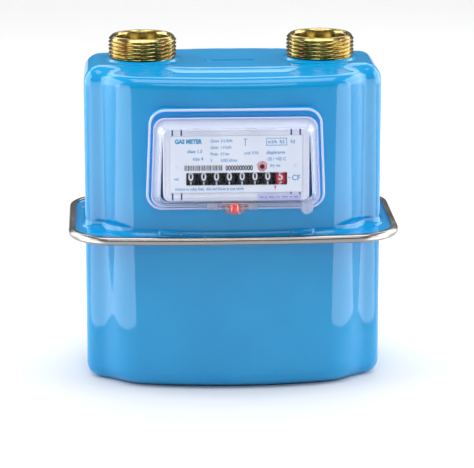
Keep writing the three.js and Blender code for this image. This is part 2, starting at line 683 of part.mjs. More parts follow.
// Crank: shaft, web and pin in one; the worm is pressed on below the web.
piece("crank_shaft", union(
  rod("z", 0, 0, TABLE_Z + 0.6, CRANK_Z + 1, 1.5, 16),
  link(0, 0, 4, CRANK_R, 0, 3, CRANK_Z, CRANK_Z + 2),
  rod("z", CRANK_R, 0, CRANK_Z + 1, CRANK_Z + 4.4, 1.2, 16),
), brightSteel);
piece("crank_worm", worm(GEAR_Z - 5.5, GEAR_Z + 5.5, 2.9, 4.8, Math.PI, 1.5 + GAP), ivoryPlastic);

// Gear shaft: worm wheel and pinion on one spindle; drive shaft: gear, spindle, bevel gear.
const atGear = (made, x) => aboutY(made, 1).translate([x, 0, GEAR_Z]);
piece("gear_spindle", rod("y", GEAR_X, GEAR_Z, -25, 8.5, 1.2, 16), brightSteel);
piece("worm_wheel", atGear(union(
  gear(20, 1, -1.5, 1.5, 1.2 + GAP),
  cut(rod("z", 0, 0, -3, 3, 3.2, 20), rod("z", 0, 0, -4, 4, 1.2 + GAP, 16)),
), GEAR_X), ivoryPlastic);
piece("spur_pinion", atGear(gear(20, 0.74, -24, -21, 1.2 + GAP), GEAR_X), ivoryPlastic);
piece("spur_wheel", atGear(gear(40, 0.74, -24, -21, 1.5 + GAP, Math.PI / 40), DRIVE_X), ivoryPlastic);
const bevelBack = WHEEL_Y + BEVEL_R;
piece("drive_shaft", union(
  rod("y", DRIVE_X, GEAR_Z, bevelBack - 0.5, -16.5, 1.5, 16),
  rod("y", DRIVE_X, GEAR_Z, bevelBack - 0.1, bevelBack + 2, 3.4, 24),
  atGear(bevelGear(12, WHEEL_Y + 2, bevelBack, WHEEL_Y, 0.8, Math.PI / 12), DRIVE_X),
), brightSteel);
piece("gland_bush", cut(
  union(
    rod("y", DRIVE_X, GEAR_Z, POCKET.y - 1, -38.7, 3.7, 24),
    rod("y", DRIVE_X, GEAR_Z, POCKET.y + WALL + GAP, -38.7, 6, 24),
  ),
  rod("y", DRIVE_X, GEAR_Z, -60, -30, 1.5 + RUN, 16),
), brass);

// The bracket that carries the gear shaft, the drive shaft and the top of the crank.
const foot = TABLE_Z + GAP;
piece("gear_bracket", cut(
  union(
    box(22.5, -19.6, foot, 42, -18, GEAR_Z + 6),
    box(8, -19.6, GEAR_Z - 5, 42, -18, GEAR_Z + 6),
    box(22.5, -19.6, foot, 31, 7.6, foot + 1.6),
    box(22.5, 6, foot, 27, 7.6, GEAR_Z + 6),
    box(-6, 6, GEAR_Z - 5, 27, 7.6, GEAR_Z + 8.7),
    box(-6, -4, GEAR_Z + 7.1, 4.6, 7.6, GEAR_Z + 8.7),
  ),
  rod("y", GEAR_X, GEAR_Z, -30, 20, 1.2 + RUN, 16),
  rod("y", DRIVE_X, GEAR_Z, -30, 0, 1.5 + RUN, 16),
  rod("z", 0, 0, 130, 160, 1.5 + RUN, 16),
), brightSteel);

// Outlet duct from the block to the right-hand connection, with its sealing sleeve.
const ductTop = PLATE_Z - 12 - GAP;
piece("outlet_duct", lathe([
  [15.6, foot], [19.8, foot], [19.8, foot + 2], [DUCT_R + 0.3, foot + 4],
  [DUCT_R + 0.3, ductTop], [15.6, ductTop],
], 24).translate([CENTRES / 2, 0, 0]), greyPlastic);
piece("duct_sleeve", lathe([
  [DUCT_R + 0.6, ductTop - 6.5], [DUCT_R + 2.6, ductTop - 6.5],
  [DUCT_R + 2.6, ductTop + 6.5], [DUCT_R + 0.6, ductTop + 6.5],
], 24).translate([CENTRES / 2, 0, 0]), darkRubber);

export default group;
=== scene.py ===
import json
import math

import bmesh
import bpy
import numpy as np
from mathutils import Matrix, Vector


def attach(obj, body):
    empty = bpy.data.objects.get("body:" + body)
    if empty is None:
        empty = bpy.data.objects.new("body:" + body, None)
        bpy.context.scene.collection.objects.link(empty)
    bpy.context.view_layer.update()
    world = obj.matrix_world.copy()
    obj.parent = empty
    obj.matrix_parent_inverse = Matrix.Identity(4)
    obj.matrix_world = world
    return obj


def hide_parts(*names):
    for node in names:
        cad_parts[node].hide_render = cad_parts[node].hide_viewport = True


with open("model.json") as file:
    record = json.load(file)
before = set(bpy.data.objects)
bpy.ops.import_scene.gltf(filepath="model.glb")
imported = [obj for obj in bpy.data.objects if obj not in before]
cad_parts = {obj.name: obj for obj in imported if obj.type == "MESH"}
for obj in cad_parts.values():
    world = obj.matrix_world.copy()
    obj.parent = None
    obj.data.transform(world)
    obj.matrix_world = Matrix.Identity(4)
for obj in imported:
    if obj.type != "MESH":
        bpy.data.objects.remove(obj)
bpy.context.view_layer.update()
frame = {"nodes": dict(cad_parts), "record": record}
MM = 0.001

# ---- Sizes in millimetres, the same as the CAD's ---------------------------------------
# Height, depth and width run along Z, Y and X; the front faces -Y and the meter stands on 0.
CENTRES = 110  # from one connection's axis to the other's
THREAD_R = 20.955  # a G 1 1/4 pipe thread, outside
THREAD_PITCH = 2.309
THREAD_DEPTH = 1.48
BORE_R = 16
HEIGHT = 213
PLATE_Z = 198
JOINT_Z = 96.2  # middle of the crimp band
FLANGE_TOP = 97.7
FLANGE_LOW = 94.7
SHEET = 1.2  # thickness of the drawn steel
INDEX_Z = 144.8  # middle of the counter's tray and cover
SEAT_Z = 146.5
SEAT_Y = -57.6
POCKET_Z = 145
POCKET_Y = -42.2
TRAY_FRONT = -65.7
FACE_FRONT = -65.3
CLIP_X = 35.7  # middle of each pair of clip slots, and half the pair's spacing
CLIP_STEP = 2.7
CLIP_ROWS = ((123.0, 127.2), (162.5, 166.6))
TEST_X = 15.6  # the test pin's hole in the plate
TEST_Z = 143.2
COVER_BACK = -57.9
COVER_FRONT = -69.4
SEAL_X = -0.8
SEAL_Y = -61.5
WHEEL_R = 9.4
WHEEL_PITCH = 7.73
WHEEL_X0 = -26.5
WHEEL_Y = -54.6
GEAR_Z = 135.8  # the wheels' shaft
AXLE_R = 1.25
RIM_W = 5.3
RING_W = 1.8
RING_TEETH = 20
DIGIT_H = 4.8
PRINT_Y = FACE_FRONT - 0.03  # printed films stand this far out of the plate
INK_THICK = 0.04


# ---- Materials --------------------------------------------------------------------------
RAMP = "ShaderNodeValToRGB"
RELIEF = "ShaderNodeBump"


def linear(colour):
    """An sRGB hex colour as linear red, green, blue and 1."""
    parts = [int(colour[i : i + 2], 16) / 255 for i in (1, 3, 5)]
    return (*[c / 12.92 if c <= 0.04045 else ((c + 0.055) / 1.055) ** 2.4 for c in parts], 1.0)


def add(owner, kind, settings=None, links=None, stops=(), **options):
    """Adds one shader node to a material or to the world.

    Options are the node's own settings; settings and links go to its inputs, and a linked
    node gives its first output. Stops are a ramp's (position, hex colour or grey level).
    """
    made = owner.node_tree.nodes.new(kind)
    for key, value in options.items():
        setattr(made, key, value)
    for key, value in (settings or {}).items():
        made.inputs[key].default_value = value
    for key, source in (links or {}).items():
        socket = source.outputs[0] if isinstance(source, bpy.types.Node) else source
        owner.node_tree.links.new(socket, made.inputs[key])
    for _ in stops[2:]:
        made.color_ramp.elements.new(0.5)
    for k, (position, level) in enumerate(stops):
        element = made.color_ramp.elements[k]
        element.position = position
        element.color = linear(level) if isinstance(level, str) else (level, level, level, 1)
    return made


def start(name):
    """An empty material."""
    material = bpy.data.materials.new(name)
    material.use_nodes = True
    material.node_tree.nodes.clear()
    return material


def end(material, settings, links, see_through=None, thinness=0.0):
    """Closes a material with its main shader. Lamps reach through see_through's colour."""
    surface = add(material, "ShaderNodeBsdfPrincipled", settings, links)
    if see_through:
        path = add(material, "ShaderNodeLightPath")
        shadow = path.outputs["Is Shadow Ray"]
        share = add(material, "ShaderNodeMath", {1: thinness}, {0: shadow}, operation="MAXIMUM")
        open_way = add(material, "ShaderNodeBsdfTransparent", {"Color": linear(see_through)})
        surface = add(material, "ShaderNodeMixShader", links={0: share, 1: surface, 2: open_way})
    add(material, "ShaderNodeOutputMaterial", links={"Surface": surface})
    return material


def grain(material, size_mm, detail=2.0, stretch=(1, 1, 1)):
    """Patches about size_mm across, fixed to the piece and stretched to run one way."""
    where = add(material, "ShaderNodeTexCoord").outputs["Object"]
    along = add(material, "ShaderNodeMapping", {"Scale": stretch}, {"Vector": where})
    scale = {"Scale": 1 / (size_mm * MM), "Detail": detail}
    return add(material, "ShaderNodeTexNoise", scale, {"Vector": along})


def enamel():
    """Stoving enamel on drawn steel: a wet gloss with a faint orange peel, about 2 mm."""
    m = start("blue_stoving_enamel")
    colour = add(m, RAMP, links={"Fac": grain(m, 60)}, stops=[(0.3, "#0692cf"), (0.7, "#0f99d6")])
    rough = add(m, RAMP, links={"Fac": grain(m, 14, 3)}, stops=[(0.3, 0.045), (0.75, 0.075)])
    peel = add(m, RELIEF, {"Strength": 0.05, "Distance": 0.05 * MM}, {"Height": grain(m, 2.2, 1)})
    return end(m, {"IOR": 1.5}, {"Base Color": colour, "Roughness": rough, "Normal": peel})


def rolled_steel():
    """Bright stainless strip, rolled round the flanges: fine lines run along the band."""
    m = start("rolled_stainless_strip")
    lines = grain(m, 1.2, 3, (0.05, 0.05, 4))
    colour = add(m, RAMP, links={"Fac": lines}, stops=[(0.25, "#8d8a87"), (0.75, "#a8a5a1")])
    rough = add(m, RAMP, links={"Fac": lines}, stops=[(0.2, 0.16), (0.8, 0.3)])
    drawn = add(m, RELIEF, {"Strength": 0.15, "Distance": 0.02 * MM}, {"Height": lines})
    return end(m, {"Metallic": 1.0}, {"Base Color": colour, "Roughness": rough, "Normal": drawn})


def yellow_zinc():
    """Yellow passivated zinc on turned steel: gold that drifts to olive and rose."""
    m = start("yellow_passivated_zinc")
    drift = grain(m, 9, 3, (1, 1, 0.6))
    tints = [(0.3, "#7c7645"), (0.45, "#bfae72"), (0.6, "#a58f58"), (0.72, "#85604c")]
    colour = add(m, RAMP, links={"Fac": drift}, stops=tints)
    turning = grain(m, 0.8, 2, (0.1, 0.1, 3))
    rough = add(m, RAMP, links={"Fac": turning}, stops=[(0.3, 0.14), (0.8, 0.26)])
    rings = add(m, RELIEF, {"Strength": 0.25, "Distance": 0.03 * MM}, {"Height": turning})
    return end(m, {"Metallic": 1.0}, {"Base Color": colour, "Roughness": rough, "Normal": rings})


def turned_steel():
    """Turned bright steel: fine tool marks 0.7 mm apart draw the shine out into lines."""
    m = start("turned_bright_steel")
    marks = grain(m, 0.7, 2, (1, 1, 0.2))
    colour = add(m, RAMP, links={"Fac": marks}, stops=[(0.3, "#a5a5a6"), (0.7, "#cbcac8")])
    rough = add(m, RAMP, links={"Fac": marks}, stops=[(0.2, 0.22), (0.8, 0.4)])
    return end(m, {"Metallic": 1.0}, {"Base Color": colour, "Roughness": rough})


def turned_brass():
    """Turned brass, left bare: warm yellow, with tool marks 0.6 mm apart."""
    m = start("turned_brass")
    marks = grain(m, 0.6, 2, (1, 0.2, 1))
    colour = add(m, RAMP, links={"Fac": marks}, stops=[(0.3, "#b08a35"), (0.7, "#cfae5c")])
    rough = add(m, RAMP, links={"Fac": marks}, stops=[(0.2, 0.25), (0.8, 0.4)])
    return end(m, {"Metallic": 1.0}, {"Base Color": colour, "Roughness": rough})


def clear_polycarbonate(name, tint, through, milky=0.0, rough=0.02, thinness=0.88):
    """Clear moulded polycarbonate: polished, with a slight flow ripple, about 12 mm.

    Milky turns part of it from clear to a whitish colour: painted sheen, for the light that walls
    and beads catch when seen edge on.
    """
    m = start(name)
    scuffs = add(m, RAMP, links={"Fac": grain(m, 5, 4)}, stops=[(0.4, rough), (0.8, rough + 0.03)])
    ripple = add(m, RELIEF, {"Strength": 0.1, "Distance": 0.05 * MM}, {"Height": grain(m, 12, 1)})
    settings = {
        "Base Color": linear(tint),
        "IOR": 1.585,
        "Specular IOR Level": 0.25,
        "Transmission Weight": 1.0 - milky,
    }
    return end(m, settings, {"Roughness": scuffs, "Normal": ripple}, through, thinness)


def moulded(name, dark, light, rough, spark_mm=0.5, gloss=0.0):
    """A moulded plastic: a fine spark-eroded texture and a slow change in colour."""
    m = start(name)
    colour = add(m, RAMP, links={"Fac": grain(m, 18)}, stops=[(0.3, dark), (0.7, light)])
    levels = [(0.3, rough - 0.05), (0.75, rough + 0.06)]
    shine = add(m, RAMP, links={"Fac": grain(m, 6, 3)}, stops=levels)
    texture = grain(m, spark_mm)
    pits = add(m, RELIEF, {"Strength": 0.15, "Distance": 0.03 * MM}, {"Height": texture})
    settings = {"IOR": 1.49, "Coat Weight": gloss, "Coat Roughness": 0.1}
    return end(m, settings, {"Base Color": colour, "Roughness": shine, "Normal": pits})


def ink(name, thin, full):
    """Pad-printed ink: satin, and a little uneven where it is thin, about 0.4 mm."""
    m = start(name)
    colour = add(m, RAMP, links={"Fac": grain(m, 0.4)}, stops=[(0.25, thin), (0.6, full)])
    satin = add(m, RAMP, links={"Fac": grain(m, 1.5)}, stops=[(0, 0.45), (1, 0.55)])
    return end(m, {"IOR": 1.5}, {"Base Color": colour, "Roughness": satin})


def coated_cloth():
    """Rubber coated cloth: a dull plain weave shows through, its threads 0.8 mm apart."""
    m = start("rubber_coated_cloth")
    where = add(m, "ShaderNodeTexCoord").outputs["Object"]
    threads = {"Scale": 1 / (0.8 * MM) / math.tau, "Distortion": 0.4}
    weave = add(
        m, "ShaderNodeTexWave", threads, {"Vector": where}, bands_direction="DIAGONAL"
    ).outputs["Fac"]
    colour = add(m, RAMP, links={"Fac": weave}, stops=[(0.2, "#3b3026"), (0.8, "#5d4c3a")])
    ridges = add(m, RELIEF, {"Strength": 0.4, "Distance": 0.1 * MM}, {"Height": weave})
    return end(m, {"Roughness": 0.8}, {"Base Color": colour, "Normal": ridges})


def studio_floor():
    """A matt painted floor, pale grey, that drifts a little over a metre."""
    m = start("studio_floor")
    colour = add(m, RAMP, links={"Fac": grain(m, 900)}, stops=[(0.3, "#e3e3e4"), (0.7, "#e7e7e8")])
    return end(m, {"Roughness": 0.6}, {"Base Color": colour})


PAINT = enamel()
BAND = rolled_steel()
ZINC = yellow_zinc()
# The cover's front is clear as glass; its walls and beads are pale with painted sheen and
# highlight.
CLEAR = clear_polycarbonate("clear_polycarbonate", "#fafaff", "#fafbff")
# Walls and lugs: their own faint lavender tint, and a milky white that is painted sheen.
MILKY_SHEEN = clear_polycarbonate("milky_polycarbonate_painted_sheen", "#dbe0ea", "#f6f8ff", 0.45, 0.15, 0.25)
# Beads: a whiter colour that is a painted highlight along the flange's edges.
BEAD_HIGHLIGHT = clear_polycarbonate("polycarbonate_bead_highlight", "#e6ecff", "#f0f2ff", 0.55, 0.06, 0.0)
SEAL_CLEAR = clear_polycarbonate("seal_polycarbonate", "#ffcdc6", "#ffe9e6", 0.12, 0.03, 0.6)
# Tray and plate are satin white, and the wheels are matt, so that only their figures shine.
WHITE = moulded("white_moulded_abs", "#e6e8ee", "#f1f3f6", 0.35, gloss=0.2)
PLATE = moulded("white_index_plate", "#eef4f7", "#f6fafb", 0.4, 0.3)
BLACK = moulded("black_moulded_acetal", "#04060b", "#0a0e16", 0.5)
RED = moulded("red_moulded_acetal", "#d02036", "#e23248", 0.35)
SEAL_RED = moulded("red_moulded_polyethylene", "#d8141c", "#ee2a26", 0.25, gloss=0.5)
GREY = moulded("grey_moulded_acetal", "#7f858d", "#969ba3", 0.45)
IVORY = moulded("ivory_moulded_acetal", "#cfc8b2", "#ddd7c6", 0.4)
# The rubber is dull and grainy, the clips are satin, and the vinyl film is glossy.
RUBBER = moulded("moulded_nitrile_rubber", "#17181a", "#232528", 0.7, 0.8)
NAVY = moulded("navy_moulded_clip", "#1f3f86", "#2c509c", 0.35)
FILM = moulded("lilac_vinyl_film", "#c3c6ea", "#d3d5f3", 0.3, gloss=0.3)
# The inks are satin and stand out of the plate by their own thickness.
BLUE_INK = ink("light_blue_ink", "#38a0ca", "#1890c4")
DARK_INK = ink("dark_blue_ink", "#2c4f78", "#1c3c66")
BLACK_INK = ink("black_ink", "#3a3c42", "#1c1e22")
RED_INK = ink("red_ink", "#e8545e", "#dc3340")
WHITE_INK = ink("white_ink", "#e6e9ee", "#f6f8fb")
STEEL = turned_steel()

# The finish of each CAD part, by the slot that its record names.
FINISHES = {
    "blue_paint": PAINT, "yellow_zinc": ZINC, "bright_steel": STEEL, "dark_rubber": RUBBER,
    "white_plastic": WHITE, "clear_plastic": CLEAR, "black_plastic": BLACK, "red_plastic": RED,
    "grey_plastic": GREY, "ivory_plastic": IVORY, "diaphragm_cloth": coated_cloth(),
    "brass": turned_brass(),
}
for part in frame["record"]["subparts"]:
    node = frame["nodes"][part["node"]]
    node.data.materials.clear()
    node.data.materials.append(FINISHES[part["material_slot"]])


# ---- Mesh making --------------------------------------------------------------------------
CREASE = 35  # degrees: a sharper edge than this stays an edge


def skin(rings, closed=False):
    """Points and faces through closed outlines of equal length; flat ends unless closed."""
    n = len(rings[0])
    faces = []
    last = len(rings) if closed else len(rings) - 1
    for k in range(last):
        a = k * n
        b = ((k + 1) % len(rings)) * n
        for i in range(n):
            j = (i + 1) % n
            faces.append((a + i, a + j, b + j, b + i))
    if not closed:
        faces.append(tuple(reversed(range(n))))
        faces.append(tuple(range((len(rings) - 1) * n, len(rings) * n)))
    return np.vstack(rings), faces


def closed_mesh(name, shape, material, finish=None):
    """A mesh from (points in millimetres, faces), with its faces turned outwards."""
    points, faces = shape
    mesh = bpy.data.meshes.new(name)
    mesh.from_pydata((np.asarray(points, float) * MM).tolist(), [], faces)
    work = bmesh.new()
    work.from_mesh(mesh)
    bmesh.ops.remove_doubles(work, verts=work.verts, dist=1e-6)
    bmesh.ops.recalc_face_normals(work, faces=work.faces)
    if finish:
        finish(work)
    work.to_mesh(mesh)
    work.free()
    mesh.materials.append(material)
    return mesh


def shade(mesh, crease):
    """Smooth faces, but for edges sharper than crease degrees."""
    for polygon in mesh.polygons:
        polygon.use_smooth = True
    mesh.set_sharp_from_angle(angle=math.radians(crease))


def thing(name, data):
    """An object in the scene that holds a mesh, letters, a lamp or the camera."""
    made = bpy.data.objects.new(name, data)
    bpy.context.collection.objects.link(made)
    return made


def piece(name, shape, material, crease=CREASE):
    """A piece of the meter, smooth but for its sharp edges."""
    mesh = closed_mesh(name, shape, material)
    shade(mesh, crease)
    return thing(name, mesh)


def fit(made, body="case", nodes=()):
    """Hangs a finished piece on its body and hides the CAD parts that it stands for."""
    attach(made, body)
    if nodes:
        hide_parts(*nodes)


def cut(made, *shapes):
    """Subtracts closed shapes from a piece, for good."""
    for shape in shapes:
        tool = piece("cutter", shape, made.data.materials[0])
        change = made.modifiers.new("cut", "BOOLEAN")
        change.object = tool
        change.solver = "EXACT"
        graph = bpy.context.evaluated_depsgraph_get()
        result = bpy.data.meshes.new_from_object(made.evaluated_get(graph))
        made.modifiers.clear()
        made.data = result
        bpy.data.objects.remove(tool)
    shade(made.data, CREASE)
    return made


def join(shapes):
    """Several (points, faces) as one."""
    points = []
    faces = []
    for shape_points, shape_faces in shapes:
        base = sum(len(p) for p in points)
        points.append(np.asarray(shape_points, float))
        faces += [tuple(base + i for i in face) for face in shape_faces]
    return np.vstack(points), faces


def turn(outline, axis, at, sides=64):
    """A ring of revolution: a closed outline of (radius, along) turned about an axis."""
    angles = np.linspace(0, 2 * np.pi, sides, endpoint=False)
    rings = []
    for r, along in outline:
        u = r * np.cos(angles)
        v = r * np.sin(angles)
        w = np.full(sides, float(along))
        rings.append(np.column_stack({"x": (w, u, v), "y": (v, w, u), "z": (u, v, w)}[axis]))
    return [ring + np.asarray(at, float) for ring in rings]


def front_outline(top, bottom, half, corner, middle, y, steps=10):
    """A rounded frame outline in the front view, a little wider at the bottom."""
    points = []
    corners = ((bottom, -half, -90), (top, half, 0), (-top, half, 90), (-bottom, -half, 180))
    for x, z, first in corners:
        for a in np.radians(first + np.linspace(0, 90, steps)):
            points.append((
                x - math.copysign(corner, x) + corner * math.cos(a),
                y,
                z - math.copysign(corner, z) + corner * math.sin(a) + middle,
            ))
    return np.array(points)


def plate(x0, x1, z0, z1, y_front, y_back, corner=0.3, edge=0.12):
    """A thin plate that faces the front, with rounded corners and softened edges."""
    middle = (z0 + z1) / 2
    half = (z1 - z0) / 2
    wide = (x1 - x0) / 2
    shift = np.array([(x0 + x1) / 2, 0, 0])
    levels = ((0, y_back), (0, y_front + edge), (edge, y_front))
    return skin([
        front_outline(wide - d, wide - d, half - d, max(corner - d, 0.05), middle, y, 4) + shift
        for d, y in levels
    ])


# ---- Shape of the case --------------------------------------------------------------------
# Each shape is a field: how far a point lies outside it, negative inside.
def rounded_box(x, y, half_x, half_y, corner):
    """Plan of an upright box with round corners."""
    dx = np.abs(x) - half_x + corner
    dy = np.abs(y) - half_y + corner
    outside = np.hypot(np.maximum(dx, 0), np.maximum(dy, 0))
    return outside + np.minimum(np.maximum(dx, dy), 0) - corner


def bowed(x, y, half_x, half_y, corner, sweep):
    """The same, with front and back bowed out to a radius of sweep."""
    return rounded_box(x, np.abs(y) + x * x / (2 * sweep), half_x, half_y, corner)


def rounded_edge(side, top, r):
    """Where a wall meets a top, rounded with radius r."""
    a = side + r
    b = top + r
    return np.hypot(np.maximum(a, 0), np.maximum(b, 0)) + np.minimum(np.maximum(a, b), 0) - r


def blend(a, b, reach):
    """The nearer of two surfaces, with a soft hollow where they meet."""
    h = np.maximum(reach - np.abs(a - b), 0) / reach
    return np.minimum(a, b) - h * h * reach / 4


def upper_field(x, y, z):
    """Upper case: a plain box, the bulge with its sloping shoulder, and the raised plate."""
    sides = rounded_edge(rounded_box(x, y, 91.5, 30, 10), z - PLATE_Z, 11)
    wall = bowed(x, y, 82.3, 56, 24, 260)
    slope = ((z - 194.8) + (wall + 4.8) / 10) * 0.995
    bulge = rounded_edge(wall, slope, 5.5)
    pad = rounded_edge(bowed(x, y, 46, 31, 18, 400), z - PLATE_Z, 5)
    return np.maximum(blend(blend(sides, bulge, 5), pad, 9), z - PLATE_Z)


def lower_field(x, y, z):
    """Lower case: the same box and bulge, with round edges at the foot."""
    sides = rounded_edge(rounded_box(x, y, 91.5, 30, 10), -z, 9)
    bulge = rounded_edge(bowed(x, y, 82.3, 56, 24, 260), -z, 12)
    return np.maximum(blend(sides, bulge, 9), -z)


def band_plan(x, y, z):
    """Outside of the crimp band, the same at every height."""
    return bowed(x, y, 102, 63.5, 26, 900) + 0 * z


RAY = 260.0  # longer than the case in any direction
HALVINGS = 40  # down to far less than a micron


def cast(field, origin, towards, offset=0.0):
    """Where rays from origin meet the surface that lies offset outside field's own."""
    towards = towards / np.linalg.norm(towards, axis=1, keepdims=True)
    near = np.zeros(len(towards))
    far = np.full(len(towards), RAY)
    for _ in range(HALVINGS):
        middle = (near + far) / 2
        inside = field(*(origin + towards * middle[:, None]).T) - offset < 0
        near = np.where(inside, middle, near)
        far = np.where(inside, far, middle)
    return origin + towards * near[:, None]


def directions(field, z, count):
    """Plan directions, evenly spaced along the outline."""
    fine = np.linspace(0, 2 * np.pi, 3000, endpoint=False)
    rays = np.column_stack((np.cos(fine), np.sin(fine), 0 * fine))
    line = cast(field, np.array([0, 0, z]), rays)
    steps = np.linalg.norm(np.roll(line, -1, axis=0) - line, axis=1)
    length = np.concatenate(([0], np.cumsum(steps)))
    angles = np.interp(
        np.linspace(0, length[-1], count, endpoint=False), length, np.append(fine, 2 * np.pi)
    )
    return np.column_stack((np.cos(angles), np.sin(angles), 0 * angles))


def wall_ring(field, rays, z, offset=0.0):
    """The case's outline at one height."""
    return cast(field, np.array([0.0, 0.0, z]), rays, offset)


def dome_rings(field, rays, z_from, z_corner, rise, inwards, offset=0.0):
    """Rings from the wall over the rounded edge to the middle of the top or bottom."""
    origin = np.array([0.0, 0.0, z_from])
    outer = np.linalg.norm(wall_ring(field, rays, z_from, offset)[:, :2], axis=1)
    rings = []
    for share in rise:
        target = rays * outer[:, None]
        target[:, 2] = (z_corner - z_from) * share
        rings.append(cast(field, origin, target, offset))
    for share in inwards:
        target = rays * (outer * (1 - share))[:, None]
        target[:, 2] = z_corner - z_from
        rings.append(cast(field, origin, target, offset))
    return rings


COUNT = 420  # points round the case, and the dome's rings as shares of its rise and width
RISE = np.concatenate((np.linspace(0.45, 0.8, 6), np.linspace(0.83, 1, 9)))
INWARDS = np.concatenate((np.linspace(0.015, 0.2, 14), np.linspace(0.23, 0.62, 16),
                          np.linspace(0.68, 0.98, 6)))


def fillet_rings(field, rays, z, side, radius=4.0, steps=8):
    """The hollow where a case wall turns out into its flange; side is +1 going up."""
    rings = []
    for a in np.linspace(0, np.pi / 2, steps):
        height = z + side * radius * (1 - math.cos(a))
        rings.append(wall_ring(field, rays, height, radius * (1 - math.sin(a))))
    return rings


def case_shell(field, z_flange, z_far, side, z_dome, heights):
    """A drawn shell, from inside its lid, out round the flange and up over the outside."""
    rays = directions(field, z_dome, COUNT)
    edge = z_flange - side * 0.8
    inner = [wall_ring(field, rays, z, -SHEET) for z in (*heights[::-3], edge)]
    lid = dome_rings(field, rays, z_dome, z_far, RISE[::3], INWARDS[::4], -SHEET)[::-1]
    rim = [wall_ring(band_plan, rays, z, -2.2) for z in (edge, z_flange)]
    outer = [wall_ring(field, rays, z) for z in heights]
    shell = [
        *lid, *inner, *rim, *fillet_rings(field, rays, z_flange, side), *outer,
        *dome_rings(field, rays, z_dome, z_far, RISE, INWARDS),
    ]
    return skin(shell)


def pads(points):
    """Presses two small rounded pads out of the hollow above the front flange."""
    x, y, z = points.T
    for middle in (-39.8, 41.0):
        across = np.clip((7.4 - np.abs(x - middle)) / 1.6, 0, 1)
        up = np.clip((2.0 - np.abs(z - 99.6)) / 1.2, 0, 1)
        lift = across**2 * (3 - 2 * across) * up**2 * (3 - 2 * up) * (y < 0)
        points[:, 1] -= 1.4 * lift
        points[:, 2] += 0.7 * lift
    return points


def mirrored(outline):
    """The other half of a section, so that the two halves follow on from each other."""
    return [(inset, -height) for inset, height in reversed(outline)]


def upper_case():
    """Upper shell, with the ways into both connections and the counter's pocket cut out."""
    heights = (102.2, 104, 108, 114, 122, 130, 140, 150, 158)
    points, faces = case_shell(upper_field, FLANGE_TOP, PLATE_Z, 1, 150, heights)
    made = piece("upper_case_skin", (pads(points), faces), PAINT)
    ways = [
        skin(turn([(18.6, 180), (18.6, 220)], "z", (x, 0, 0), 96))
        for x in (-CENTRES / 2, CENTRES / 2)
    ]
    pocket = skin([front_outline(49, 49, 28, 6, POCKET_Z, y) for y in (-80, -30)])
    fit(cut(made, *ways, pocket), nodes=["upper_case"])


def lower_case():
    """Lower shell, whole all round."""
    heights = (90.2, 88, 84, 78, 70, 62, 55, 48, 42)
    shell = case_shell(lower_field, FLANGE_LOW, 0, -1, 48, heights)
    fit(piece("lower_case_skin", shell, PAINT), nodes=["lower_case"])


upper_case()
lower_case()


# ---- Crimp band ---------------------------------------------------------------------------
def crimp_band():
    """A rolled strip: a round nose, and two lips over the flanges of both shells."""
    nose_r, half = 2.2, 2.6
    # The section's points are (inset from the band's outside, height above its middle).
    lip = [(4.4, 2.25), (4.3, 2.5), (3.6, half), (2.4, half)]
    hollow = [(4.3, -1.75), (2.6, -1.8), (1.7, -1.5), (1.4, -0.8)]
    nose = [
        (nose_r - nose_r * math.cos(a), half * math.sin(a))
        for a in np.radians(np.linspace(80, -80, 15))
    ]
    section = lip + nose + mirrored(lip) + hollow + mirrored(hollow)
    rays = directions(band_plan, 0, 520)
    rings = [wall_ring(band_plan, rays, JOINT_Z + z, -inset) for inset, z in section]
    strip = piece("crimp_band_strip", skin(rings, closed=True), BAND, 50)
    fit(strip, nodes=["crimp_band"])


crimp_band()


# ---- Threaded connections -------------------------------------------------------------------
def connection(name, x, node):
    """G 1 1/4 thread cut as one real helix, with a lead-in chamfer and an undercut."""
    sides = 144
    steps = 14  # rings to each turn of the thread
    neck_r = 19.4
    neck_top = 199.0
    angles = np.linspace(0, 2 * np.pi, sides, endpoint=False)
    at = (x, 0, 0)
    neck = [(BORE_R, 186), (18, 186), (18, 198.05), (neck_r, 198.05), (neck_r, 198.9)]
    mouth = [(18.95, 212.8), (18.6, HEIGHT), (17.0, HEIGHT), (16.7, 212.8), (16.2, 211.9),
             (BORE_R, 211.2), (BORE_R, 200)]
    thread = []
    for z in np.arange(199.1, 212.4, THREAD_PITCH / steps):
        across = np.abs((z / THREAD_PITCH - angles / (2 * np.pi)) % 1 - 0.5) * 2
        r = THREAD_R - THREAD_DEPTH + THREAD_DEPTH * np.clip((across - 0.1) / 0.8, 0, 1)
        r = np.minimum(r, neck_r + (z - neck_top) * 1.4)
        r = np.minimum(r, 18.9 + (HEIGHT - z) * 0.9)
        ring = np.column_stack((r * np.cos(angles), r * np.sin(angles), np.full(sides, z)))
        thread.append(ring + at)
    rings = [*turn(neck, "z", at, sides), *thread, *turn(mouth, "z", at, sides)]
    fit(piece(name, skin(rings, closed=True), ZINC, 40), nodes=[node])


def weld_collar(name, x):
    """The case's own turned-up lip round each connection, painted over."""
    section = [(19.6, 196.5), (23.6, 196.5), (23.4, 198.1), (22.4, 198.35), (21.6, 198.9),
               (20.6, 199.3), (19.8, 199.2), (19.6, 198.6)]
    rings = turn(section, "z", (x, 0, 0), 96)
    fit(piece(name, skin(rings, closed=True), PAINT, 60))


connection("inlet_thread", -CENTRES / 2, "inlet_connector")
connection("outlet_thread", CENTRES / 2, "outlet_connector")
weld_collar("inlet_collar", -CENTRES / 2)
weld_collar("outlet_collar", CENTRES / 2)


def flow_arrow():
    """A low arrow embossed in the middle of the top plate."""
    line = [(-13.5, 0.35), (13.5, 0.35), (13.5, -0.35), (-13.5, -0.35)]
    head = [(-13.2, 1.5), (-13.2, -1.5), (-17, 0)]
    middle_y = -9
    shapes = []
    for outline in (line, head):
        low = np.array([(x, y + middle_y, PLATE_Z - 0.4) for x, y in outline])
        top = np.array([(x * 0.998, y * 0.6 + middle_y, PLATE_Z + 0.45) for x, y in outline])
        shapes.append(skin([low, top]))
    fit(piece("flow_arrow", join(shapes), PAINT))


flow_arrow()


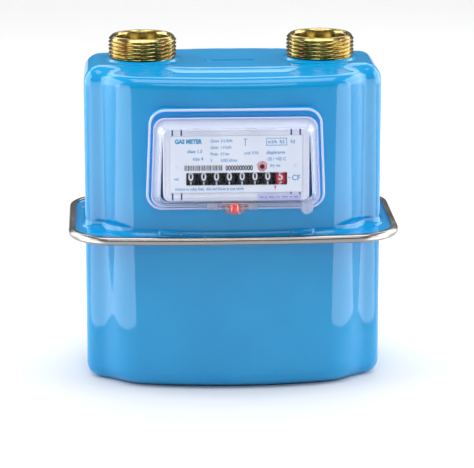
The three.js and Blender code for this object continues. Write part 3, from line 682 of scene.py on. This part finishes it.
# ---- Counter's seat and pocket ----------------------------------------------------------------
def seat():
    """The pad and pocket pressed into the case's front, that the counter sits in."""
    def pad(inset, y):
        return front_outline(52.65 - inset, 54.45 - inset, 31.2 - inset, 10 - inset, SEAT_Z, y)

    def pocket(grow, y):
        return front_outline(46 + grow, 46 + grow, 25.4 + grow, 3 + grow, POCKET_Z, y)

    rounded = ((0, -47.0), (0, -55.2), (0.12, -56.0), (0.5, -56.8), (1.1, -57.35), (1.9, SEAT_Y))
    rings = [front_outline(47.2, 47.2, 26.6, 4, POCKET_Z, y) for y in (-41.0, -47.0)]
    rings += [pad(inset, y) for inset, y in rounded]
    rings += [pocket(1.4, SEAT_Y), pocket(0.3, -57.0), pocket(0, POCKET_Y)]
    fit(piece("counter_seat", skin(rings), PAINT, 50))


seat()


# ---- Counter tray, faceplate and clips ----------------------------------------------------------
def clip_plates(grow, y_front, y_back, corner):
    """Upright plates at the four pairs of clip slots, as one shape."""
    shapes = []
    for side in (-1, 1):
        for step in (-CLIP_STEP, CLIP_STEP):
            x = side * CLIP_X + step
            for z0, z1 in CLIP_ROWS:
                wide = 0.5 + grow / 2
                shapes.append(
                    plate(x - wide, x + wide, z0 - grow, z1 + grow, y_front, y_back, corner)
                )
    return join(shapes)


def tray():
    """White tray: a raised lip round the plate, and a hollow behind for the wheels."""
    def outside(inset, y):
        return front_outline(44 - inset, 44 - inset, 22.6 - inset, 4 - inset, INDEX_Z, y)

    def lip(grow, y):
        return front_outline(39.7 + grow, 39.7 + grow, 17.4 + grow, 1 + grow, INDEX_Z, y)

    def opening(half_x, half_z, corner, y):
        return front_outline(half_x, half_x, half_z, corner, INDEX_Z, y)

    rings = [outside(inset, y) for inset, y in (
        (0, -43.5), (0, -64.9), (0.1, -65.35), (0.35, -65.6), (0.8, TRAY_FRONT)
    )]
    rings += [lip(grow, y) for grow, y in (
        (3.4, TRAY_FRONT), (3.3, -65.3), (3.0, -65.3), (2.9, TRAY_FRONT), (2.4, TRAY_FRONT),
        (2.1, -65.2), (0.5, -65.1), (0.3, -64.9), (0.3, -64.6)
    )]
    rings += [opening(39, 16.8, 0.8, y) for y in (-64.6, -61.8)]
    rings += [opening(42.8, 21.4, 2.8, y) for y in (-61.6, -44.7)]
    made = piece("counter_tray", skin(rings), WHITE)
    fit(cut(made, clip_plates(0, -70, -63.4, 0.3)), nodes=["index_tray"])
    fit(piece("clip_hooks", clip_plates(0.1, -64.9, -64.3, 0.2), NAVY))


def faceplate():
    """White plate with the wheels' window and the test pin's hole."""
    sheet = plate(-39.7, 39.7, 127.4, 162.2, FACE_FRONT, -64.6, 1.0, 0.15)
    made = piece("index_plate", sheet, PLATE)
    window = plate(-30.2, 30.7, GEAR_Z - 3.9, GEAR_Z + 3.9, -70, -60, 0.5)
    hole = skin(turn([(1.5, -70), (1.5, -60)], "y", (TEST_X, 0, TEST_Z), 40))
    fit(cut(made, window, hole), nodes=["faceplate"])


tray()
faceplate()


# ---- Printing -------------------------------------------------------------------------------
def lettering(text, height, narrow=1.0, bold=0.025):
    """Flat letters as (points, faces), starting at the origin; height in mm is of capitals."""
    curve = bpy.data.curves.new("letters", "FONT")
    curve.body = text
    curve.size = height / 0.69  # capitals are 0.69 of the font's size
    curve.offset = bold * height
    curve.resolution_u = 3
    made = thing("letters", curve)
    graph = bpy.context.evaluated_depsgraph_get()
    flat = bpy.data.meshes.new_from_object(made.evaluated_get(graph))
    points = np.array([v.co for v in flat.vertices], float)
    faces = [tuple(p.vertices) for p in flat.polygons]
    bpy.data.objects.remove(made)
    points[:, 0] *= narrow
    return points, faces


def words(text, x, z, height, narrow=0.9, bold=0.025):
    """Lettering stood up on the plate, with the foot of its first letter at x, z."""
    points, faces = lettering(text, height, narrow, bold)
    y = np.full(len(points), PRINT_Y)
    return np.column_stack((points[:, 0] + x, y, points[:, 1] + z)), faces


def bar(x0, x1, z0, z1, y=PRINT_Y):
    """A flat upright rectangle."""
    return np.array([(x0, y, z0), (x1, y, z0), (x1, y, z1), (x0, y, z1)]), [(0, 1, 2, 3)]


def annulus(inner, outer, first=0.0, last=360.0, steps=48):
    """A flat ring, or a piece of one, round the test pin's hole."""
    points = []
    for a in np.radians(np.linspace(first, last, steps + 1)):
        for r in (inner, outer):
            points.append((TEST_X + r * math.cos(a), PRINT_Y, TEST_Z + r * math.sin(a)))
    faces = [(2 * i, 2 * i + 1, 2 * i + 3, 2 * i + 2) for i in range(steps)]
    return np.array(points), faces


def to_the_front(_):
    """Outwards for flat print, wherever it is."""
    return Vector((0, -1, 0))


def film(name, shapes, material, body="case", outwards=to_the_front):
    """Raises flat print to a thin closed film; outwards says which way each face looks."""
    def thicken(work):
        inner = [
            face for face in work.faces
            if face.normal.dot(outwards(face.calc_center_median())) < 0
        ]
        bmesh.ops.reverse_faces(work, faces=inner)
        bmesh.ops.solidify(work, geom=work.faces[:], thickness=INK_THICK * MM)

    fit(thing(name, closed_mesh(name, join(shapes), material, thicken)), body)


def print_words():
    """Generic words and units in light blue, with an outlined box and a small tee."""
    shapes = [
        words("GAS METER", -36.9, 157.8, 2.5, 0.86, 0.08),
        words("class 1.5", -29.6, 152.0, 2.0, 0.95),
        words("size 4", -26.2, 147.4, 2.0, 0.95),
        words("diaphragm", 18.0, 151.0, 2.0, 0.95),
        words("-25 / +55 C", 18.2, 147.0, 1.9),
        words("dry gas", 20.2, 143.2, 1.7),
        words("vol", -37.4, 135.2, 1.7),
        words("CF", 33.4, 134.7, 3.2, 0.95),
        words("volume in cubic feet,  the red figure is one tenth", -37.0, 129.0, 1.7, 0.86),
        words("unit 1/10", 4.8, 150.9, 1.8),
        words("ft3", 32.6, 157.6, 2.0),
        words("m3/h  ft3", 18.9, 157.5, 2.1),
    ]
    limits = (
        ("Qmax", "212 ft3/h"), ("Qmin", "1.4 ft3/h"), ("Pmax", "0.5 bar"), ("V", "0.025 ft3/rev"),
    )
    for row, (name, value) in enumerate(limits):
        z = 158.5 - 4.0 * row
        shapes += [words(name, -15.6, z, 1.7, 0.85), words(value, -9.4, z, 1.7, 0.78)]
    x0, x1, z0, z1 = 18.0, 30.4, 156.2, 160.8
    line = 0.35
    shapes += [
        bar(x0, x1, z0, z0 + line), bar(x0, x1, z1 - line, z1),
        bar(x0, x0 + line, z0, z1), bar(x1 - line, x1, z0, z1),
        bar(5.2, 5.6, 156.0, 160.4), bar(4.2, 6.6, 160.1, 160.5),
    ]
    film("plate_lettering", shapes, BLUE_INK)


def print_bars():
    """A plain pattern of upright bars that says nothing, and a row of zeros."""
    widths = (0.24, 0.42, 0.3, 0.62, 0.24)
    gaps = (0.3, 0.22, 0.46, 0.26)
    shapes = []
    x = -31.2
    while x < -8.8:
        k = len(shapes)
        wide = widths[k % 5]
        shapes.append(bar(x, x + wide, 141.1, 144.3))
        x += wide + gaps[(k * 3 + k // 4) % 4]
    shapes.append(words("0000000000", -6.5, 141.2, 2.9, 0.78, 0.05))
    film("plate_bars", shapes, BLACK_INK)


def print_marks():
    """The target round the test pin, and the mark and arrow that point at the red wheel."""
    arrow = np.array([(22.6, PRINT_Y, 130.4), (24.45, PRINT_Y, 130.4), (23.52, PRINT_Y, 131.6)])
    film("plate_red_marks", [
        annulus(2.25, 2.85), annulus(1.55, 1.95),
        bar(31.4, 32.5, 136.1, 136.6), bar(23.3, 23.75, 128.9, 130.6), (arrow, [(0, 1, 2)]),
    ], RED_INK)
    dashes = [annulus(3.15, 3.55, a, a + 15, 4) for a in range(28, 152, 24)]
    film("plate_dashes", dashes, BLACK_INK)


def plate_studs():
    """Two moulded studs hold the plate at its sides."""
    dome = [(0.95, -64.9), (0.95, -65.55), (0.8, -65.72), (0.45, -65.78), (0.1, -65.72)]
    studs = [skin(turn(dome, "y", (x, 0, 143.6), 32)) for x in (-35.9, 35.4)]
    fit(piece("plate_studs", join(studs), WHITE))


def film_label():
    """A strip of lilac film on the tray's lower edge, with a few short dark marks."""
    strip = plate(12.6, 38.6, 122.7, 126.3, TRAY_FRONT - 0.15, TRAY_FRONT + 0.02, 0.4, 0.05)
    fit(piece("film_label", strip, FILM))
    marks = (
        (14, 2.6), (17.4, 1.2), (19.6, 3.4), (24.2, 2.0), (27.4, 3.8), (32.4, 1.4), (34.8, 2.4),
    )
    film("film_marks", [
        bar(x, x + wide, 124.3, 124.75, TRAY_FRONT - 0.17) for x, wide in marks
    ], DARK_INK)


print_words()
print_bars()
print_marks()
plate_studs()
film_label()


# ---- Number wheels ------------------------------------------------------------------------------
def sliced(shape, cuts):
    """Letters cut across at several heights, so that they can follow a curve."""
    points, faces = shape
    work = bmesh.new()
    for point in points:
        work.verts.new(point)
    work.verts.ensure_lookup_table()
    for face in faces:
        work.faces.new([work.verts[i] for i in face])
    for height in cuts:
        bmesh.ops.bisect_plane(
            work, geom=work.verts[:] + work.edges[:] + work.faces[:],
            plane_co=(0, height, 0), plane_no=(0, 1, 0),
        )
    work.verts.index_update()
    result = np.array([v.co for v in work.verts], float), [
        tuple(v.index for v in face.verts) for face in work.faces
    ]
    work.free()
    return result


DIGITS = [
    sliced(lettering(str(digit), DIGIT_H, 0.92, 0.035), np.arange(0.4, DIGIT_H, 0.4))
    for digit in range(10)
]


def wheel_rim(centre):
    """The drum: a hub, a thin web and the broad rim that carries the figures."""
    r = WHEEL_R
    section = [
        (AXLE_R, 0.2), (2.4, 0.2), (2.5, 3.0), (r - 1.8, 3.1), (r - 1.6, 0.1), (r - 0.3, 0),
        (r, 0.25), (r, RIM_W - 0.25), (r - 0.3, RIM_W), (AXLE_R, RIM_W),
    ]
    return skin(turn(section, "x", centre, 80), closed=True)


def wheel_gear(centre):
    """The toothed ring on the rim's right side, which the pinion behind it meshes with."""
    root, tip = 6.59, 7.99
    first = math.radians(-56)
    teeth = []
    for k in range(RING_TEETH):
        for radius, share in ((root, -0.29), (tip, -0.12), (tip, 0.12), (root, 0.29)):
            a = first + (k + share) * 2 * math.pi / RING_TEETH
            teeth.append((radius * math.cos(a), radius * math.sin(a)))
    teeth = np.array(teeth)
    hole = teeth / np.linalg.norm(teeth, axis=1, keepdims=True) * AXLE_R
    sections = ((hole, RIM_W - 0.1), (teeth, RIM_W - 0.1), (teeth, RIM_W + RING_W),
                (hole, RIM_W + RING_W))
    rings = [np.column_stack((np.full(len(s), along), s)) + centre for s, along in sections]
    return skin(rings, closed=True)


def figure(digit, shown, x):
    """One digit, bent round the rim that starts at x; the shown one faces the window."""
    flat, faces = DIGITS[digit]
    width = flat[:, 0].max() + flat[:, 0].min()
    a = math.radians(8.2 - 36 * ((digit - shown) % 10)) + (flat[:, 1] - DIGIT_H / 2) / WHEEL_R
    high = WHEEL_R + 0.02
    return np.column_stack((
        flat[:, 0] - width / 2 + x + RIM_W / 2,
        WHEEL_Y - high * np.cos(a),
        GEAR_Z + high * np.sin(a),
    )), faces


def from_the_shaft(point):
    """Outwards for print on a wheel."""
    return Vector((0, point.y - WHEEL_Y * MM, point.z - GEAR_Z * MM))


def number_wheel(number, shown):
    """Wheels are numbered from the left, and the eighth, on the right, is red."""
    name = f"number_wheel_{number}"
    body = f"wheel_{number}"
    material, slot = (RED, "red_plastic") if number == 8 else (BLACK, "black_plastic")
    x = WHEEL_X0 + (number - 1) * WHEEL_PITCH - 3.5
    centre = np.array((x, WHEEL_Y, GEAR_Z))
    fit(piece(name + "_drum", join([wheel_rim(centre), wheel_gear(centre)]), material),
        body, [name])
    figures = [figure(digit, shown, x) for digit in range(10)]
    film(name + "_figures", figures, WHITE_INK, body, from_the_shaft)


for number, shown in enumerate((0, 0, 0, 0, 0, 0, 0, 5), 1):
    number_wheel(number, shown)


# ---- Clear cover and seal ---------------------------------------------------------------------
def cover_at(inset, y, corner=None):
    """The cover's outline, drawn in by inset; its corners get tighter with it."""
    corner = 7 - inset / 2 if corner is None else corner
    return front_outline(48.9 - inset, 50.5 - inset, 26.75 - inset, corner, INDEX_Z, y, 12)


def cover():
    """The clear cover, notched for the seal's cup; its walls are milky with painted sheen."""
    inner = [(5.2, -68.0), (4.75, -67.9), (4.5, -67.6), (1.5, -58.1), (1.3, COVER_BACK)]
    outer = [(0.0, COVER_BACK), (0.0, -58.8), (0.25, -59.3), (3.0, -68.3), (3.25, -68.9),
             (3.7, -69.25), (4.4, COVER_FRONT)]
    made = piece("counter_cover", skin([cover_at(*step) for step in inner + outer]), CLEAR)
    made.data.materials.append(MILKY_SHEEN)
    cut(made, skin(turn([(7.7, 100), (7.7, 121)], "z", (SEAL_X, SEAL_Y, 0), 64)))
    # Faces to the front stay clear; the walls take the milky material, a painted sheen.
    for face in made.data.polygons:
        face.material_index = 0 if abs(face.normal.y) > 0.8 else 1
    fit(made, nodes=["index_cover"])


def cover_lugs():
    """Two tabs beside the seal with a dark hook in each, and a long lug at the right."""
    tabs = [plate(x, x + 6.6, 115.9, 119.9, -62.5, COVER_BACK, 0.9, 0.6) for x in (-17.6, 7.0)]
    steps = ((3.7, COVER_BACK), (3.8, -58.6), (3.8, -62.9), (3.3, -63.7), (2.2, -64.0))
    lug = skin([
        front_outline(r, r, r + 1.6, r - 0.01, 118.3, y, 12) + (43.0, 0, 0) for r, y in steps
    ])
    # The lugs are milky too: painted sheen on clear plastic.
    fit(piece("cover_lugs", join([*tabs, lug]), MILKY_SHEEN))
    hooks = [plate(x, x + 1.1, 116.8, 118.6, -61.9, -60.6, 0.3, 0.2) for x in (-16.4, 11.4)]
    fit(piece("tab_hooks", join(hooks), NAVY))


def cover_flange():
    """The clear foot of the cover that lies flat on the seat, with a bead round its edge."""
    def rim(inset, y):
        return front_outline(52.6 - inset, 54.4 - inset, 31.15 - inset, 10 - inset, SEAT_Z, y, 12)

    foot = [front_outline(49.1, 50.7, 26.95, 7, INDEX_Z, y, 12) for y in (-57.7, -58.3)]
    foot += [rim(0.6, -58.3), rim(0.4, -58.1), rim(0.5, -57.7)]
    fit(piece("cover_flange", skin(foot, closed=True), CLEAR, 50))
    round_about = np.linspace(0, 2 * np.pi, 14, endpoint=False)
    outer = [rim(0.9 + 0.75 * math.cos(a), -58.35 - 0.95 * math.sin(a)) for a in round_about]
    inner = [
        cover_at(-0.2 + 0.55 * math.cos(a), -58.7 - 0.7 * math.sin(a), 7) for a in round_about
    ]
    beads = join([skin(outer, closed=True), skin(inner, closed=True)])
    # The beads' whitish colour is a painted highlight along the flange's edges.
    fit(piece("cover_beads", beads, BEAD_HIGHLIGHT, 50))


def seal():
    """A clear cup, flat at the back, with a red plug pressed up into it."""
    section = [(2.6, 119.9), (2.7, 114.6), (3.0, 114.3), (6.2, 114.3), (6.9, 114.55),
               (7.3, 115.1), (7.4, 115.8), (7.4, 120.2), (7.2, 120.6), (6.8, 120.7)]
    rings = turn(section, "z", (SEAL_X, SEAL_Y, 0), 96)
    for ring in rings:
        ring[:, 1] = np.minimum(ring[:, 1], COVER_BACK)
    fit(piece("seal_cup_clear", skin(rings), SEAL_CLEAR), nodes=["seal_cup"])
    plug = skin(turn([(0.3, 114.2), (1.6, 114.35), (2.2, 114.8), (2.4, 115.4), (2.4, 119.2),
                      (2.1, 119.6), (0.5, 119.7)], "z", (SEAL_X, SEAL_Y, 0), 48))
    fit(piece("seal_plug_red", plug, SEAL_RED), nodes=["seal_core"])


cover()
cover_lugs()
cover_flange()
seal()


# ---- Room, light and camera, in metres ----------------------------------------------------------
def studio_ground():
    """A floor so wide that its edge is far behind the meter."""
    half = 9
    corners = [(-half, -half, 0), (half, -half, 0), (half, half, 0), (-half, half, 0)]
    mesh = bpy.data.meshes.new("floor")
    mesh.from_pydata(corners, [], [(0, 1, 2, 3)])
    mesh.materials.append(studio_floor())
    return mesh


def studio_world():
    """A room that is dim at the level of the eye and brighter overhead."""
    world = bpy.data.worlds.new("studio")
    world.use_nodes = True
    where = add(world, "ShaderNodeTexCoord")
    split = add(world, "ShaderNodeSeparateXYZ", links={0: where.outputs["Generated"]})
    levels = [(0.08, 0.12), (0.4, 0.26), (0.85, 0.4)]
    grey = add(world, RAMP, links={"Fac": split.outputs["Z"]}, stops=levels)
    sky = world.node_tree.nodes["Background"]
    sky.inputs["Strength"].default_value = 0.9
    world.node_tree.links.new(grey.outputs["Color"], sky.inputs["Color"])
    bpy.context.scene.world = world


def softbox(name, where, at, wide, high, radiance, only_shine=False):
    """A rectangular lamp as bright as radiance; only_shine shows it in reflections alone."""
    lamp = bpy.data.lights.new(name, "AREA")
    lamp.shape = "RECTANGLE"
    lamp.size = wide
    lamp.size_y = high
    lamp.energy = radiance * math.pi * wide * high
    made = thing(name, lamp)
    made.location = where
    made.rotation_euler = (Vector(at) - Vector(where)).to_track_quat("-Z", "Y").to_euler()
    made.visible_camera = False
    made.visible_diffuse = not only_shine


thing("floor", studio_ground())
studio_world()

MIDDLE = (0, 0, 0.11)  # of the meter
ABOVE = (0, 0.02, 0.32)  # the strips lean back to face this, with their feet on the floor
softbox("top_light", (0, -0.3, 1.5), MIDDLE, 1.5, 0.9, 3.2)
softbox("left_light", (-1.25, 0.3, 0.5), MIDDLE, 1.5, 1.1, 3.6)
softbox("right_light", (1.25, 0.3, 0.5), MIDDLE, 1.5, 1.1, 3.6)
softbox("left_strip", (-0.25, -0.12, 0.118), ABOVE, 0.17, 0.28, 2.4, True)
softbox("right_strip", (0.25, -0.12, 0.118), ABOVE, 0.17, 0.28, 2.4, True)
softbox("front_light", (0, -2.6, 2.1), MIDDLE, 2.2, 1.0, 2.45)
softbox("back_light", (0, 3.4, 2.6), (0, 3.4, 0), 5.0, 3.0, 2.2)

AZIMUTH = math.radians(-2.8)
ELEVATION = math.radians(14.1)
DISTANCE = 1.691
LENS = 203.8  # focal length in millimetres on a 36 mm sensor
AIM = (0.0036, 0.0, 0.0852)
camera = bpy.data.cameras.new("camera")
camera.lens = LENS
camera.sensor_width = 36
camera.clip_start = 0.05
camera.clip_end = 60
viewer = thing("camera", camera)
back = Vector((
    math.sin(AZIMUTH) * math.cos(ELEVATION),
    -math.cos(AZIMUTH) * math.cos(ELEVATION),
    math.sin(ELEVATION),
))
viewer.location = Vector(AIM) + back * DISTANCE
viewer.rotation_euler = (-back).to_track_quat("-Z", "Y").to_euler()
scene = bpy.context.scene
scene.camera = viewer
scene.view_settings.view_transform = "Standard"
